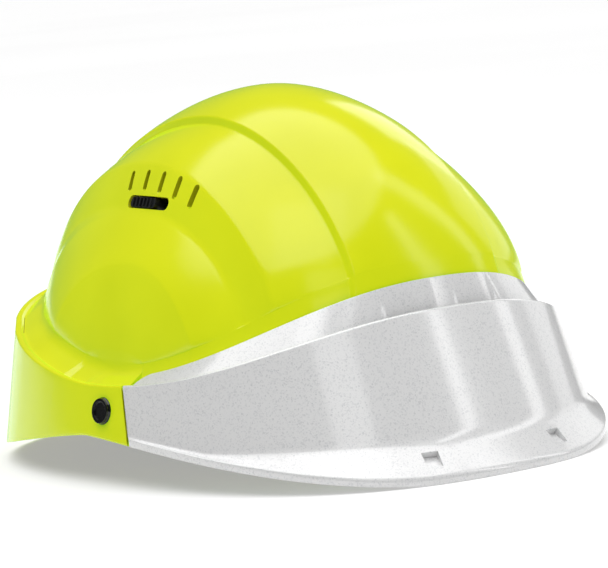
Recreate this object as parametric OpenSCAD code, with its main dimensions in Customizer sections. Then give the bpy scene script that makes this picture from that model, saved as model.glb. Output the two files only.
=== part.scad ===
// Ventilated safety helmet: stepped shell, separate front peak, sliding vents
// and a textile cradle with a ratchet headband. +Z is up, -Y is the front.

/* [Shell] */
// Overall half width of the skirt at the ears
skirt_half_w = 107.5; // [102:0.5:126]
// Height of the crown above the surface the helmet rests on
crown_h = 156; // [140:1:186]
// Wall thickness of the shell
shell_t = 2.6; // [2:0.1:3.4]
// Height of the skirt's arch over the ears
ear_arch = 20.5; // [14:0.5:24]
// Half width of the ledge's outer lip
lip_half_w = 103.75; // [98:0.25:106]
// Width of the raised lip
lip_w = 2.4; // [1.6:0.1:3.2]
// Half width of the dome where it meets the ledge
dome_half_w = 89.9; // [84:0.1:92]

/* [Crown steps] */
// Half width of the crest band
crest_half_w = 33; // [24:1:42]
// Width of the step beside the crest band
riser_w = 1.6; // [1:0.1:3]
// Height by which the crest band stands proud
crest_out = 0.8; // [0.2:0.1:1.6]
// Height by which the edges of the side lobes stand proud
edge_out = 2.2; // [0.8:0.1:3]
// Depth by which the creases lie below the plain dome
crease_in = 1.8; // [0.6:0.1:2.4]

/* [Front peak] */
// Thickness of the peak's wall
peak_t = 2.4; // [1.8:0.1:3]
// Thickness of the brim
brim_t = 3.2; // [2.4:0.1:4.4]
// Angle of the joint between peak and skirt, from the front
seam_angle = 81; // [74:0.5:84]
// Side of the square sockets in the brim
socket_w = 7; // [4:0.5:9]

/* [Vents] */
// Number of vent slots on each side
slot_count = 5; // [3:1:5]
// Width of a vent slot
slot_w = 2.2; // [1.2:0.1:2.4]
// Length of a vent slot
slot_l = 9; // [6:0.5:10]
// Distance between vent slots
slot_pitch = 12.8; // [12:0.2:13.4]
// Length of the thumb slot
thumb_slot_l = 32; // [26:0.5:34]
// Width of the thumb slot
thumb_slot_w = 5.6; // [4.6:0.2:6.4]
// Travel of the vent shutter
vent_travel = 9; // [6:0.5:9.5]

/* [Headband] */
// Inner half width of the headband
band_half_w = 78; // [70:0.5:80]
// Distance from the headband's rear centre to its front
band_front = 120; // [108:1:124]
// Height of the headband
band_h = 30; // [22:1:34]
// Thickness of the headband
band_t = 1.8; // [1.4:0.1:2.4]
// Height of the lower edge of the headband
band_z = 27; // [24:1:32]
// Width of the textile straps
strap_w = 19; // [14:1:24]
// Thickness of the textile straps
strap_t = 1.1; // [0.8:0.1:1.6]
// Room between the straps' crossing and the crown
crown_gap = 50; // [42:1:58]

/* [Ratchet] */
// Radius of the ratchet knob
knob_r = 16; // [12:0.5:18]
// Number of teeth on the pinion
pinion_teeth = 12; // [10:2:14]
// Gear module of pinion and racks
gear_module = 1; // [0.8:0.05:1.15]
// Radius of the knob's spindle
spindle_r = 3; // [2:0.1:3.6]
// Radius of the peak plugs' stems
plug_r = 3; // [2:0.1:3.6]

/* [Hidden] */

yellow = [0.86, 0.9, 0.1];
white = [0.94, 0.94, 0.94];
black = [0.08, 0.08, 0.08];
grey = [0.35, 0.36, 0.38];
textile = [0.2, 0.21, 0.23];

// Gaps between pieces that only lie beside each other, and for running fits
gap = 0.4;
running_gap = 0.06;

// ---- Lines round the shell. Angle t runs from the front (0) to the rear (180).
plan_power = 2.4;
dome_power = 2.3;
skirt_len = 146;
lip_front = 114.5;
lip_rear = 129.5;
fold_half_w = skirt_half_w - 1.4;
fold_front = 133.7;
dome_front = 105.4;
dome_rear = 124.4;
lip_side_z = 41.6;
lip_front_z = 65.6;
lip_rear_z = 72;
dome_side_z = 44.6;
dome_front_z = 81.4;
dome_rear_z = 77.4;
fold_z = 15.8;
rim_flat = 1;

function signed_pow(v, p) = sign(v) * pow(abs(v), p);
function plan(t, half_w, front, rear, n) = [
    half_w * signed_pow(sin(t), 2 / n),
    -(cos(t) > 0 ? front : rear) * signed_pow(cos(t), 2 / n)];
function level(t, front, side, rear, pf, pr) =
    side + (cos(t) > 0 ? (front - side) * pow(cos(t), pf) : (rear - side) * pow(-cos(t), pr));
function at_z(p, z) = [p[0], p[1], z];
function mix(a, b, f) = a + (b - a) * f;

// Moves a point towards the helmet's middle, square to its wall
function outward(p) =
    let (n = [p[0] / pow(lip_half_w, 2), p[1] / pow(lip_rear, 2), 0]) n / norm(n);
function inset(p, d, drop = 0) = p - d * outward(p) - [0, 0, drop];

function rim_z(t) = max(0, level(t, -rim_flat, ear_arch, -rim_flat, 1.15, 1.0));
function skirt_line(t) = at_z(plan(t, skirt_half_w, skirt_len, skirt_len, plan_power), rim_z(t));
function lip_line(t) = at_z(plan(t, lip_half_w, lip_front, lip_rear, plan_power),
    level(t, lip_front_z, lip_side_z, lip_rear_z, 2.16, 1.22));
function fold_line(t) = at_z(plan(t, fold_half_w, fold_front, skirt_len - 8, plan_power),
    max(fold_z, rim_z(t) + brim_t + 1));
function base_line(t) = at_z(plan(t, dome_half_w, dome_front, dome_rear, dome_power),
    level(t, dome_front_z, dome_side_z, dome_rear_z, 1.71, 1.22));

// ---- The dome, as a height over (x, y), and its rings of nearly constant x
dome_m = 1.86;
start_angle = 11.65;
c_start = pow(cos(start_angle), 2 / dome_m);
s_start = pow(1 - pow(c_start, dome_m), 1 / dome_m);

function end_y(y) = y < 0 ? dome_front : dome_rear;
function foot_x(y) = dome_half_w
    * pow(max(0, 1 - pow(min(1, abs(y) / end_y(y)), dome_power)), 1 / dome_power);
function base_z(y) = dome_side_z + (y < 0
    ? (dome_front_z - dome_side_z) * pow(abs(y) / dome_front, 1.71 * dome_power / 2)
    : (dome_rear_z - dome_side_z) * pow(abs(y) / dome_rear, 1.22 * dome_power / 2));
function arch(q) = (pow(max(0, 1 - pow(c_start * min(1, q), dome_m)), 1 / dome_m) - s_start)
    / (1 - s_start);
function crest_z(y) =
    let (z = y < 0 ? dome_front_z : dome_rear_z) z + (crown_h - z) * arch(abs(y) / end_y(y));
function dome_z(x, y) =
    base_z(y) + (crest_z(y) - base_z(y)) * arch(abs(x) / max(foot_x(y), 0.001));

// Crease lines on each side, named by their x over the ears
vent_edge = 55;
lobe_crease = 66.5;
pod_edge = 77.5;
toe_in = [[0, 0], [crest_half_w, 0.026], [vent_edge, 0.095], [lobe_crease, 0.07],
    [pod_edge, 0], [dome_half_w, 0]];
bow_out = [[0, 0], [lobe_crease, 0], [pod_edge, 0.0019], [dome_half_w, 0]];
steps = [[0, 0], [crest_half_w, crest_out], [crest_half_w + riser_w, -crease_in],
    [vent_edge, edge_out], [lobe_crease, -crease_in], [pod_edge, edge_out], [dome_half_w, 0]];
function ring_x(u, y) =
    min(dome_half_w - 0.01, u - lookup(u, toe_in) * y + lookup(u, bow_out) * y * y);
function foot_y(u, rear, y, n) = n == 0 ? y :
    let (q = pow(max(0, 1 - pow(ring_x(u, y) / dome_half_w, dome_power)), 1 / dome_power))
    foot_y(u, rear, 0.5 * y + 0.5 * (rear ? dome_rear : -dome_front) * q, n - 1);
function dome_normal(p) =
    let (n = [p[0] / pow(dome_half_w, 2), p[1] / pow(end_y(p[1]), 2),
        max(0, p[2] - dome_side_z) / pow(crown_h - dome_side_z, 2)])
    n / norm(n);
function sunk(p, d) = p - d * dome_normal(p);
function ring_point(u, w, yf, yr) =
    let (y = w < 0 ? -yf * sin(90 * w) : yr * sin(90 * w), x = abs(w) == 1
        ? foot_x(y) : ring_x(u, y), fade = 1 - 0.55 * pow(abs(w), 6))
    sunk([x, y, abs(w) == 1 ? base_z(y) : dome_z(x, y)], -lookup(u, steps) * fade);

// ---- The shell's skin: lines that run from the front rim over the dome to the rear rim
function foot_u(t) = dome_half_w * pow(sin(t), 2 / dome_power);
seam_u = foot_u(seam_angle);
ring_list = [0, 11, 22, crest_half_w - 4, crest_half_w, crest_half_w + riser_w,
    crest_half_w + 8, crest_half_w + 15, vent_edge, vent_edge + 4, vent_edge + 8,
    lobe_crease, lobe_crease + 4, lobe_crease + 8, pod_edge, pod_edge + 3, pod_edge + 6,
    pod_edge + 9, seam_u - 0.12, seam_u];
ring_n = len(ring_list) - 1;
ring_steps = 24;

// Stations of the outer wall from the rim up to the ledge at angle t. Under the peak
// the wall steps in by r and ends above the brim.
peak_recess = peak_t + 1.2;
ledge_reach = 0.78;
function wall_out(t, r) =
    let (lip = lip_line(t), low = r > 0 ? inset(mix(fold_line(t), lip, 0.22), r)
        : skirt_line(t))
    [inset(low, 0), inset(mix(low, inset(lip, r, 1.2 * r), 0.93), 0), inset(lip, r, 1.2 * r),
        inset(lip, r + lip_w, r > 0 ? r + 1.8 : 0.2), mix(inset(lip, r + lip_w, r + 2.2),
        base_line(t) - [0, 0, r], r > 0 ? ledge_reach + 0.04 : 0.12)];
function wall_in(t, r) =
    let (w = wall_out(t, r))
    [inset(w[0], shell_t), inset(w[1], shell_t, shell_t), inset(w[2], shell_t, shell_t),
        inset(w[3], shell_t - 0.8, shell_t), inset(w[4], 0, shell_t)];
function foot_t(p) =
    let (a = asin(pow(min(1, abs(p[0]) / dome_half_w), dome_power / 2)))
    p[1] < 0 ? a : 180 - a;

function flip_x(p, s) = [p[0] * s, p[1], p[2]];
function skin_line(i, inside) =
    let (s = i < 0 ? -1 : 1, u = ring_list[abs(i)], yf = foot_y(u, false, -foot_x(u), 16),
        yr = foot_y(u, true, foot_x(u), 16),
        ring = [for (k = [0:ring_steps]) ring_point(u, 2 * k / ring_steps - 1, yf, yr)],
        tf = foot_t([foot_x(yf), yf]), tr = foot_t([foot_x(yr), yr]),
        r = abs(i) < ring_n ? peak_recess : 0,
        front = inside ? wall_in(tf, r) : wall_out(tf, r),
        rear = inside ? wall_in(tr, 0) : wall_out(tr, 0),
        mid = inside ? [for (p = ring) sunk(p, shell_t)] : ring)
    [for (p = concat(front, mid, [for (k = [4:-1:0]) rear[k]])) flip_x(p, s)];
function pole_line(s, inside) =
    let (w = inside ? wall_in(90, 0) : wall_out(90, 0), p = [dome_half_w, 0, dome_side_z])
    [for (q = concat(w, [inside ? sunk(p, shell_t) : p])) flip_x(q, s)];

line_n = 2 * ring_n + 1;
line_m = 10 + ring_steps + 1;
skin_count = line_n * line_m + 12;
function at(i, j) = i * line_m + j;
function pole(side, k) = line_n * line_m + side * 6 + k;
function quad(a, b, c, d) = [[a, b, c], [a, c, d]];
skin_faces = concat(
    [for (i = [0:line_n - 2], j = [0:line_m - 2])
        each quad(at(i, j), at(i, j + 1), at(i + 1, j + 1), at(i + 1, j))],
    [for (s = [0, 1], k = [0:4])
        let (i = s * (line_n - 1), f = quad(at(i, k), at(i, k + 1), pole(s, k + 1), pole(s, k)))
        each (s == 1 ? f : [for (q = f) [q[2], q[1], q[0]]])],
    [for (s = [0, 1], k = [0:4])
        let (i = s * (line_n - 1), m = line_m - 1,
            f = quad(pole(s, k), pole(s, k + 1), at(i, m - k - 1), at(i, m - k)))
        each (s == 1 ? f : [for (q = f) [q[2], q[1], q[0]]])],
    [for (s = [0, 1], j = [5:line_m - 7])
        let (i = s * (line_n - 1), q = [at(i, j), at(i, j + 1), pole(s, 5)])
        s == 1 ? q : [q[2], q[1], q[0]]]);
rim_loop = concat([for (i = [0:line_n - 1]) at(i, 0)], [pole(1, 0)],
    [for (i = [line_n - 1:-1:0]) at(i, line_m - 1)], [pole(0, 0)]);
rim_n = len(rim_loop);

module shell_body() {
    skin_out = [for (i = [-ring_n:ring_n]) each skin_line(i, false)];
    skin_in = [for (i = [-ring_n:ring_n]) each skin_line(i, true)];
    polyhedron(
        points = concat(skin_out, pole_line(-1, false), pole_line(1, false),
            skin_in, pole_line(-1, true), pole_line(1, true)),
        faces = concat(skin_faces,
            [for (f = skin_faces) [f[2] + skin_count, f[1] + skin_count, f[0] + skin_count]],
            [for (i = [0:rim_n - 1])
                let (a = rim_loop[i], b = rim_loop[(i + 1) % rim_n])
                each quad(a, b, b + skin_count, a + skin_count)]),
        convexity = 8);
}

// ---- Vents: a local frame on each side, +Z out of the shell and +Y to the rear
vent_pos = [60.9, 0, 116.9];
vent_tilt = 68;
vent_turn = 4.8;
slot_mid = (slot_count - 1) / 2;
thumb_v = -5.5;
thumb_y = 5;
knob_l = thumb_slot_l - vent_travel - 1.6;
shutter_z = -12.6;
shutter_t = 1.4;
function slot_y(i) = slot_pitch * (i - slot_mid) - 1.2;
function slot_v(i) = 4.3 - 0.0038 * pow(slot_y(i) - 11, 2);
function slot_lean(i) = 2 + 0.45 * slot_y(i);

// Places a piece on the left (s = 1) or mirrors it to the right (s = -1)
module on_side(s) {
    if (s > 0) children();
    else mirror([1, 0, 0]) children();
}
module at_vent(s) {
    on_side(s) translate(vent_pos) rotate([0, 0, vent_turn]) rotate([0, vent_tilt, 0])
        mirror([1, 0, 0]) children();
}
module stadium(l, w, h) {
    translate([0, -(l - w) / 2, 0]) cylinder(d = w, h = h, $fn = 32);
    translate([0, (l - w) / 2, 0]) cylinder(d = w, h = h, $fn = 32);
    translate([-w / 2, -(l - w) / 2, 0]) cube([w, l - w, h]);
}
module slots(w, h) {
    for (i = [0:slot_count - 1])
        translate([slot_v(i), slot_y(i), 0]) rotate([0, 0, slot_lean(i) - 90])
            stadium(slot_l, w, h);
}

// ---- Peak plugs, through the skirt and the clip behind the joint
plug_angle = 86.3;
plug_height = 0.53;
clip_t = 2.2;
clip_depth = shell_t + peak_recess + 3 * gap + clip_t;
plug_pos = mix(skirt_line(plug_angle), lip_line(plug_angle), plug_height);
plug_lean = atan((skirt_half_w - lip_half_w) / (lip_side_z - ear_arch));
plug_turn = atan2(outward(plug_pos)[1], outward(plug_pos)[0]);
module at_plug(s) {
    on_side(s) translate(plug_pos) rotate([0, 0, plug_turn]) rotate([0, 90 - plug_lean, 0])
        children();
}

module shell() {
    color(yellow) difference() {
        shell_body();
        for (s = [-1, 1]) {
            at_vent(s) translate([0, 0, -8]) slots(slot_w, 16);
            at_vent(s) translate([thumb_v, thumb_y, -8])
                stadium(thumb_slot_l, thumb_slot_w, 16);
            at_plug(s) translate([0, 0, -6]) cylinder(r = plug_r + running_gap, h = 9, $fn = 48);
        }
    }
}

// ---- Front peak: a closed section swept from one joint to the other
peak_steps = 56;
function peak_section(t) =
    let (lip = lip_line(t), fold = fold_line(t), rim = skirt_line(t), top = base_line(t),
        ledge = mix(inset(lip, lip_w, 2.2), top, ledge_reach), brim_top = at_z(rim, rim[2] + brim_t),
        root = fold[2] - rim[2] > brim_t + 1.2 ? 1 : 0.5)
    [ledge, inset(lip, lip_w + 1.2, 1.8), inset(lip, lip_w, 0.1), lip, fold,
        mix(brim_top, fold, 0.04), mix(brim_top, rim, 0.25), rim, inset(rim, 1.6),
        at_z(inset(fold, peak_t), fold[2] - brim_t * root),
        at_z(inset(fold, peak_t), fold[2] + 4), inset(lip, peak_t, peak_t),
        inset(lip, peak_t + lip_w, peak_t + 2), inset(ledge, 0, peak_t)];
peak_m = len(peak_section(0));
module peak_body() {
    end_t = seam_angle - 0.5;
    rows = [for (i = [0:peak_steps]) peak_section(abs(end_t * (2 * i / peak_steps - 1)))];
    polyhedron(
        points = [for (i = [0:peak_steps], p = rows[i]) flip_x(p, i < peak_steps / 2 ? -1 : 1)],
        faces = concat(
            [for (i = [0:peak_steps - 1], j = [0:peak_m - 1])
                let (k = (j + 1) % peak_m)
                each quad(i * peak_m + j, (i + 1) * peak_m + j, (i + 1) * peak_m + k,
                    i * peak_m + k)],
            [[for (j = [0:peak_m - 1]) j]],
            [[for (j = [peak_m - 1:-1:0]) peak_steps * peak_m + j]]),
        convexity = 6);
}
socket_angle = 13.5;
socket_pos = mix(fold_line(socket_angle), skirt_line(socket_angle) + [0, 0, brim_t], 0.5);
module front_peak() {
    color(white) difference() {
        peak_body();
        for (s = [-1, 1])
            on_side(s) translate(socket_pos) rotate([0, 0, socket_angle])
                rotate([34, 0, 0]) translate([-socket_w / 2, -socket_w / 2, -2])
                    cube([socket_w, socket_w, 12]);
    }
}

module peak_plug() {
    translate([0, 0, gap / 2]) {
        cylinder(r1 = 5.8, r2 = 5.2, h = 1.1, $fn = 48);
        translate([0, 0, 1.1]) difference() {
            cylinder(r = 5.2, h = 0.7, $fn = 48);
            cylinder(r = 3.8, h = 1, $fn = 48);
        }
    }
    translate([0, 0, -clip_depth - gap]) cylinder(r = plug_r, h = clip_depth + 2 * gap, $fn = 48);
    translate([0, 0, -clip_depth - gap - 1.5])
        cylinder(r1 = plug_r - 0.6, r2 = plug_r + 0.5, h = 1.5, $fn = 48);
}
module peak_plug_left() { color(black) at_plug(1) peak_plug(); }
module peak_plug_right() { color(black) at_plug(-1) peak_plug(); }

module peak_clip() {
    translate([0, 0, -clip_depth]) difference() {
        translate([-6, -11, 0]) cube([12, 18, clip_t]);
        translate([0, 0, -1]) cylinder(r = plug_r + running_gap, h = clip_t + 2, $fn = 48);
    }
}
module peak_clip_left() { color(grey) at_plug(1) peak_clip(); }
module peak_clip_right() { color(grey) at_plug(-1) peak_clip(); }

// ---- Vent slides
guide_v0 = -16;
guide_v1 = 13;
shutter_y0 = -30;
shutter_y1 = 33;
// Plate outline with its front upper corner cut off, under the curve of the shell
module vent_plate(inset_by, y0, y1, h) {
    v1 = guide_v1 - inset_by;
    linear_extrude(h) polygon([[guide_v0 + inset_by, y0], [3, y0], [v1, y0 + v1 - 1], [v1, y1],
        [guide_v0 + inset_by, y1]]);
}
// Posts to the shell: [across, along, height of the end]
guide_posts = [[12, -12, -5.4], [12, 16, -2.6], [-15, -12, -1.2], [-15, 16, 1.5]];
module vent_guide() {
    post_z = shutter_z + shutter_t + gap;
    translate([0, 0, shutter_z - 1.6]) difference() {
        vent_plate(0, shutter_y0 - vent_travel, shutter_y1 + 4, 1.6 + shutter_t + 2 * gap);
        translate([0, 0, 1.6 - gap]) vent_plate(2, shutter_y0 - vent_travel - 4, shutter_y1 + 8, 8);
        translate([guide_v0 + 6, shutter_y0 + 4, -1])
            cube([guide_v1 - guide_v0 - 12, shutter_y1 - shutter_y0 - 12, 8]);
    }
    for (p = guide_posts)
        translate([p[0], p[1], post_z - 1]) cylinder(r = 0.9, h = p[2] - post_z + 1, $fn = 24);
}
module vent_guide_left() { color(grey) at_vent(1) vent_guide(); }
module vent_guide_right() { color(grey) at_vent(-1) vent_guide(); }

module vent_shutter() {
    window_w = 3.2;
    difference() {
        translate([0, 0, shutter_z]) vent_plate(2 + gap, shutter_y0, shutter_y1, shutter_t);
        translate([0, 0, shutter_z - 1]) slots(window_w, shutter_t + 2);
    }
}
module vent_shutter_left() { color(black) at_vent(1) vent_shutter(); }
module vent_shutter_right() { color(black) at_vent(-1) vent_shutter(); }

knob_rest_y = thumb_y + thumb_slot_l / 2 - knob_l / 2 - 0.8;
module vent_knob() {
    knob_w = thumb_slot_w - 1.2;
    translate([thumb_v, knob_rest_y, shutter_z + shutter_t]) {
        stadium(knob_l, knob_w, -shutter_z - shutter_t + 0.6);
        for (k = [0:5])
            translate([-knob_w / 2 + 0.3, knob_l * (k / 5 - 0.5) * 0.72 - 0.5, 0])
                cube([knob_w - 0.6, 1, -shutter_z - shutter_t + 1.4]);
    }
}
module vent_knob_left() { color(black) at_vent(1) vent_knob(); }
module vent_knob_right() { color(black) at_vent(-1) vent_knob(); }

// ---- Headband: half a circle behind band_y, half an ellipse in front of it
band_y = 30;
opening_angle = 30;
// Points on the band's plan, r out from its inner face, between angles a0 and a1 from the front
function band_arc(r, a0, a1, n) = [for (i = [0:n])
    let (t = a0 + (a1 - a0) * i / n, a = band_half_w + r, b = cos(t) > 0 ? band_front + r : a)
    [a * sin(t), -b * cos(t)]];
module band_strip(r, t, a, h, n) {
    linear_extrude(h) polygon(concat(band_arc(r + t, -a, a, n), band_arc(r, a, -a, n)));
}
module arc_strip(r, t, a0, a1, h) {
    rotate([0, 0, a0]) rotate_extrude(angle = a1 - a0, $fn = 96) translate([r, 0]) square([t, h]);
}
module headband() {
    color(grey) translate([0, band_y, band_z])
        band_strip(0, band_t, 180 - opening_angle, band_h, 80);
}
module sweatband() {
    color(textile) translate([0, band_y, band_z + 1])
        band_strip(-3 - gap, 3, 72, band_h - 2, 44);
}

// ---- Nape ratchet. Its tails slide on the band's rear circle.
tail_r = band_half_w + band_t + gap;
tail_t = 1.6;
nape_z = band_z + 8;
pitch_r = gear_module * pinion_teeth / 2;
tooth_pitch = PI * gear_module;
tail_inner = -13;
tail_wide = 27;
tail_outer = 64;
rack_depth = 3;
housing_angle = 18;

// A tail with a rack on the band's circle; its teeth point down to the pinion
module tail() {
    rack_z = pitch_r - gear_module;
    tail_h = 2 * (rack_z + 2.25 * gear_module + rack_depth);
    difference() {
        translate([0, 0, -tail_h / 2])
            arc_strip(tail_r, tail_t, 90 - tail_outer, 90 - tail_inner, tail_h);
        translate([0, 0, -tail_h])
            arc_strip(tail_r - 2, tail_t + 4, 90 - tail_wide, 95 - tail_inner, tail_h + rack_z);
        rack_gaps();
    }
}
module rack_gaps() {
    step = tooth_pitch / (tail_r + tail_t / 2) * 180 / PI;
    for (k = [-8:6])
        rotate([0, 0, k * step]) translate([0, tail_r - 1, pitch_r]) rotate([-90, 0, 0])
            linear_extrude(tail_t + 2) polygon([
                [-0.16 * tooth_pitch, -1.25 * gear_module], [0.16 * tooth_pitch, -1.25 * gear_module],
                [0.36 * tooth_pitch, 1.3 * gear_module], [-0.36 * tooth_pitch, 1.3 * gear_module]]);
}
module at_nape() { translate([0, band_y, nape_z]) children(); }
module nape_tail_left() { color(grey) at_nape() tail(); }
module nape_tail_right() { color(grey) at_nape() rotate([0, 180, 0]) tail(); }

housing_r = tail_r + tail_t + gap + 2.4;
channel_h = 2 * (pitch_r + 1.25 * gear_module + rack_depth + gap);
housing_h = channel_h + 8;
housing_w = 40;
cover_t = 2;
screw_x = housing_w / 2 - 3;
screw_z = housing_h / 2 - 2.1;
screw_r = 1.1;
// A round bar along Y that starts at distance y from the band's centre
module bar(r, y, l) { translate([0, y, 0]) rotate([-90, 0, 0]) cylinder(r = r, h = l, $fn = 64); }
module screw_places() {
    for (x = [-screw_x, screw_x], z = [-screw_z, screw_z]) translate([x, 0, z]) children();
}
module ratchet_housing() {
    wall_y = sqrt(pow(tail_r + tail_t + gap, 2) - pow(housing_w / 2, 2)) - 2;
    color(black) at_nape() difference() {
        union() {
            translate([0, 0, -housing_h / 2]) arc_strip(band_half_w, housing_r - band_half_w,
                90 - housing_angle, 90 + housing_angle, housing_h);
            translate([-housing_w / 2, wall_y, -housing_h / 2])
                cube([housing_w, housing_r - wall_y, housing_h]);
        }
        translate([0, 0, -channel_h / 2])
            arc_strip(tail_r - gap / 2, tail_t + gap, 88 - housing_angle, 92 + housing_angle,
                channel_h);
        bar(pitch_r + gear_module + gap, tail_r - 0.5, tail_t + 1);
        bar(spindle_r + running_gap, tail_r, 20);
        screw_places() bar(screw_r + 0.02, housing_r - 6, 8);
    }
}
module ratchet_cover() {
    color(black) at_nape() difference() {
        translate([-housing_w / 2, housing_r + 0.05, -housing_h / 2])
            cube([housing_w, cover_t, housing_h]);
        bar(spindle_r + running_gap, housing_r - 1, 20);
        screw_places() bar(screw_r + 0.15, housing_r - 1, 8);
    }
}
module ratchet_screws() {
    color(grey) at_nape() screw_places() {
        bar(screw_r, housing_r - 5, cover_t + 5.2);
        bar(screw_r * 1.8, housing_r + 0.1 + cover_t, 1.1);
    }
}
module ratchet_pinion() {
    root_r = pitch_r - 1.25 * gear_module;
    tip_r = pitch_r + 0.95 * gear_module;
    step = 360 / pinion_teeth;
    color(white) at_nape() translate([0, tail_r - 0.3, 0]) rotate([-90, 0, 0])
        linear_extrude(tail_t + 0.6) difference() {
            polygon([for (k = [0:pinion_teeth - 1],
                p = [[-0.36, root_r], [-0.24, root_r], [-0.11, tip_r], [0.11, tip_r],
                    [0.24, root_r], [0.36, root_r]])
                p[1] * [sin(step * (k + p[0])), cos(step * (k + p[0]))]]);
            circle(r = spindle_r + 0.02, $fn = 64);
        }
}
knob_y = housing_r + cover_t + 1.6;
knob_h = 9;
grip_count = 20;
detent_r = knob_r - 3.4;
module ratchet_knob() {
    color(black) at_nape() {
        difference() {
            bar(knob_r, knob_y, knob_h);
            bar(detent_r, knob_y - 1, 3);
            for (k = [0:grip_count - 1])
                rotate([0, k * 360 / grip_count, 0]) translate([knob_r + 1, 0, 0])
                    bar(1.9, knob_y - 1, knob_h + 2);
            for (k = [0:grip_count - 1])
                rotate([0, (k + 0.5) * 360 / grip_count, 0]) translate([detent_r, 0, 0])
                    bar(0.8, knob_y - 1, 3);
        }
        bar(spindle_r, tail_r - 0.3, knob_y + 3 - tail_r);
    }
}
module ratchet_spring() {
    spring_y = housing_r + cover_t + 0.1;
    color([0.7, 0.72, 0.74]) at_nape() difference() {
        union() {
            bar(spindle_r + 2.6, spring_y, 0.8);
            for (s = [0, 180])
                rotate([0, s, 0]) translate([0, spring_y, -1.2])
                    cube([detent_r - 0.9, 0.8, 2.4]);
            for (s = [0, 180])
                rotate([0, s, 0]) translate([detent_r - 1.5, 0, 0]) bar(0.7, spring_y, 2.4);
        }
        bar(spindle_r + 0.6, spring_y - 1, 4);
    }
}
module nape_pad() {
    color(textile) translate([0, band_y, nape_z - 12])
        arc_strip(band_half_w - gap - 5, 5, 90 - 28, 90 + 28, 24);
}

// ---- Cradle: keys that hang from the ledge, textile straps and a crown pad
// Each key has its angle at the headband and its angle at the ledge
key_front = [38, 38];
key_side = [90, 101];
key_rear = [140, 140];
arm_w = 11;
arm_h = 5;
function band_point(t, d) =
    let (a = band_half_w + band_t + d, b = cos(t) > 0 ? band_front + band_t + d : a)
    [a * sin(t), band_y - b * cos(t), 0];
function band_normal(t) =
    let (a = band_half_w + band_t, b = cos(t) > 0 ? band_front + band_t : a)
    atan2(-a * cos(t), b * sin(t));
function ledge_point(t) =
    let (r = t < seam_angle ? peak_recess : 0)
    mix(base_line(t) - [0, 0, r], inset(lip_line(t), r + lip_w, r + 2.2), 0.44)
    - [0, 0, shell_t];
function arm_z(key) = min(ledge_point(key[1])[2], band_z + band_h) - arm_h - 3;
module strap_key(key) {
    a = band_point(key[0], 2 * gap);
    b = ledge_point(key[1]);
    arm_l = norm([b[0] - a[0], b[1] - a[1]]);
    stud_l = 2.4;
    translate([a[0], a[1], arm_z(key)]) rotate([0, 0, atan2(b[1] - a[1], b[0] - a[0])]) {
        difference() {
            translate([1, -arm_w / 2, 0]) cube([arm_l + stud_l / 2 - 1, arm_w, arm_h]);
            translate([arm_l * 0.4, 0, -1]) cylinder(r = 1.6, h = arm_h + 2, $fn = 32);
        }
        translate([arm_l - stud_l / 2, -3, 0]) cube([stud_l, 6, b[2] - arm_z(key) + 0.8]);
    }
    translate([a[0], a[1], arm_z(key) + arm_h - 3.5]) rotate([0, 0, band_normal(key[0])])
        translate([0, -strap_w / 2 - 1, 0]) cube([1.6, strap_w + 2, 3.5]);
}
module strap_key_front_left() { color(black) strap_key(key_front); }
module strap_key_front_right() { color(black) on_side(-1) strap_key(key_front); }
module strap_key_side_left() { color(black) strap_key(key_side); }
module strap_key_side_right() { color(black) on_side(-1) strap_key(key_side); }
module strap_key_rear_left() { color(black) strap_key(key_rear); }
module strap_key_rear_right() { color(black) on_side(-1) strap_key(key_rear); }

cross_y = 8;
strap_steps = 26;
strap_top = crown_h - crown_gap;
strap_bend_z = band_z + band_h + 2;
// Middle line of a strap between one key on the left and one on the right. It rises straight
// past the band, then arches.
function strap_mid(left, right, layer, f) =
    let (key = f < 0.5 ? left : right, c = cos(180 * f),
        e = band_point(key[0], gap + 3), z1 = strap_top + layer * (strap_t + 0.4))
    [e[0] * c, cross_y + (e[1] - cross_y) * abs(c),
        strap_bend_z + (z1 - strap_bend_z) * sin(180 * f)];
module strap(left, right, layer) {
    e0 = strap_mid(left, right, layer, 0);
    e1 = strap_mid(left, right, layer, 1);
    along = (e0 - e1) / norm([e0[0] - e1[0], e0[1] - e1[1]]);
    side = [-along[1], along[0], 0] * strap_w / 2;
    arch_rows = [for (k = [0:strap_steps])
        let (f = k / strap_steps, p = strap_mid(left, right, layer, f),
            n = strap_mid(left, right, layer, min(1, f + 0.01))
                - strap_mid(left, right, layer, max(0, f - 0.01)),
            up = cross(n, side), v = up / norm(up) * strap_t / 2 * (up[2] < 0 ? -1 : 1))
        [p - side - v, p + side - v, p + side + v, p - side + v]];
    foot0 = [for (p = arch_rows[0]) at_z(p, arm_z(left) + arm_h + gap)];
    foot1 = [for (p = arch_rows[strap_steps]) at_z(p, arm_z(right) + arm_h + gap)];
    rows = concat([foot0], arch_rows, [foot1]);
    last = strap_steps + 2;
    polyhedron(
        points = [for (row = rows) each row],
        faces = concat([for (k = [0:last - 1], j = [0:3])
            let (m = (j + 1) % 4)
            each quad(4 * k + j, 4 * k + m, 4 * k + 4 + m, 4 * k + 4 + j)],
            [[3, 2, 1, 0]], [[for (j = [0:3]) 4 * last + j]]));
}
module crown_strap_cross() { color(textile) strap(key_side, key_side, 0); }
module crown_strap_left() { color(textile) strap(key_front, key_rear, 1); }
module crown_strap_right() { color(textile) strap(key_rear, key_front, 2); }
pad_r = 27;
pad_t = 4;
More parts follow.
